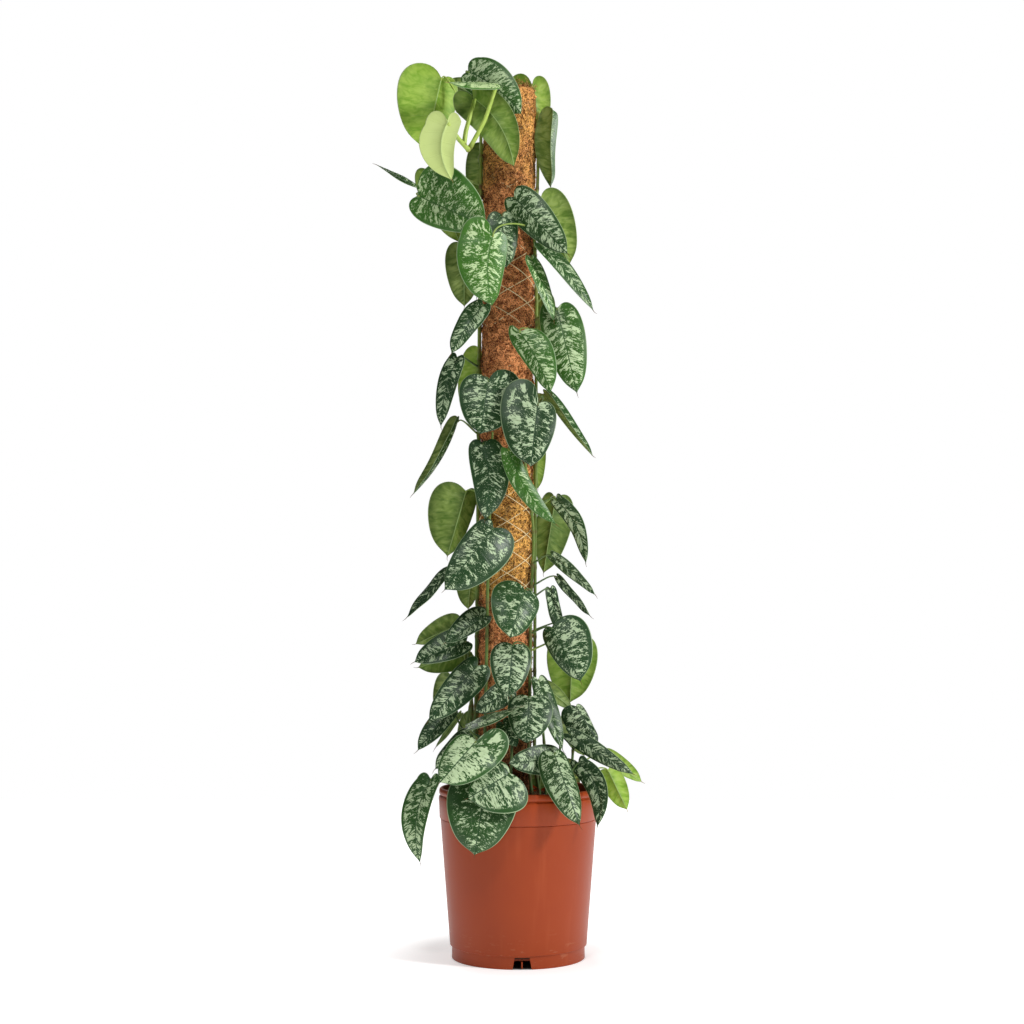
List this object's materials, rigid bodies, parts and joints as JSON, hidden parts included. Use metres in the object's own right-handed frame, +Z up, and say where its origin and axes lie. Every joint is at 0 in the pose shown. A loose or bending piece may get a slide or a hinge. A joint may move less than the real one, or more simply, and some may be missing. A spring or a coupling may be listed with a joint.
{
  "type": "potted climbing house plant",
  "caption": "Potted satin pothos with silver-flecked heart-shaped leaves, climbing a tall coir pole that stands in a round terracotta-coloured plastic nursery pot.",
  "frame": {"origin": "on the floor under the middle of the plant's bounding box; the pot's own axis stands 15.5 mm towards +X and 14 mm towards +Y of it", "axes": "+Z up; -Y is the front, where the flecked faces of most leaves look; +X to the viewer's right"},
  "size_m": [0.4468, 0.3329, 1.5038],
  "materials": {
    "pot_plastic": "satin",
    "soil": "matte",
    "core_plastic": "satin",
    "coir": "matte",
    "foliage": "satin"
  },
  "bodies": {
    "root": {"pot": "pot_plastic", "soil": "soil", "pole_core": "core_plastic", "pole_coir": "coir", "vine_crown": "foliage", "vine_left": "foliage", "vine_right": "foliage", "vine_front_left": "foliage", "vine_front_right": "foliage", "vine_back_left": "foliage", "vine_back_right": "foliage", "shoot_left": "foliage", "shoot_left_low": "foliage", "shoot_front_left": "foliage", "shoot_front": "foliage", "shoot_front_right": "foliage", "shoot_right": "foliage", "shoot_right_low": "foliage", "shoot_over_rim": "foliage", "shoot_back_left": "foliage", "shoot_back": "foliage", "shoot_back_right": "foliage"}
  },
  "joints": []
}
